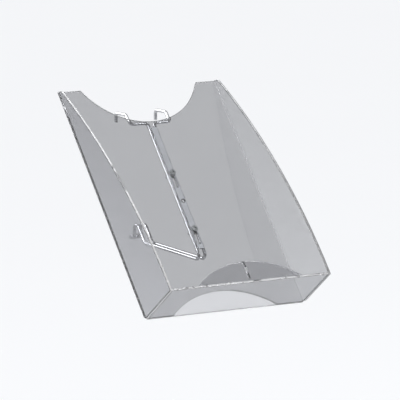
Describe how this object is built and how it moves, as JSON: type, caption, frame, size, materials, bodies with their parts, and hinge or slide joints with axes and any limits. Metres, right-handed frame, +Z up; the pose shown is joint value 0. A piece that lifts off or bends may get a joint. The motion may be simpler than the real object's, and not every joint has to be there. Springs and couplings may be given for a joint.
{
  "type": "wall-hung magazine tray",
  "caption": "Clear acrylic magazine tray leaning back on a hooked steel-wire bracket, clamped through a slotted strip so its height adjusts along the panel.",
  "frame": {"origin": "the rail seat: midway between the two upper hooks, at the underside of their back runs and the middle of the hook gap from front to back", "axes": "+Z up, +Y towards the wall or rail behind the tray, +X to the right for someone facing the tray. The tray's back panel leans 37.5 degrees back from vertical, its top towards the wall."},
  "size_m": [0.23, 0.2542, 0.2536],
  "materials": {
    "clear_acrylic_back": "clear cast acrylic sheet with a faint grey tint, polished",
    "clear_acrylic_sides": "clear cast acrylic sheet, flame-polished edges",
    "clear_acrylic_floor": "clear cast acrylic sheet, polished",
    "plated_wire": "bright zinc plate on drawn steel wire",
    "plated_strip": "bright zinc plate on steel strip",
    "dark_screw": "dull plated steel",
    "plated_fixings": "zinc plated steel",
    "spring_steel": "spring steel, lightly oiled"
  },
  "bodies": {
    "bracket": {"left_hanger_wire": "plated_wire", "right_hanger_wire": "plated_wire", "slotted_strip": "plated_strip", "lower_cross_tube": "plated_wire"},
    "tray": {"back_panel": "clear_acrylic_back", "left_side_panel": "clear_acrylic_sides", "right_side_panel": "clear_acrylic_sides", "floor_panel": "clear_acrylic_floor", "front_lip": "clear_acrylic_floor", "clamp_screws": "dark_screw", "rear_washers": "plated_fixings", "spring_washers": "spring_steel", "hex_nuts": "plated_fixings"}
  },
  "joints": [
    {"name": "tray_slide", "type": "slide", "parent": "bracket", "child": "tray", "axis": [0, 0.6088, 0.7934], "range_m": [-0.018, 0]}
  ]
}
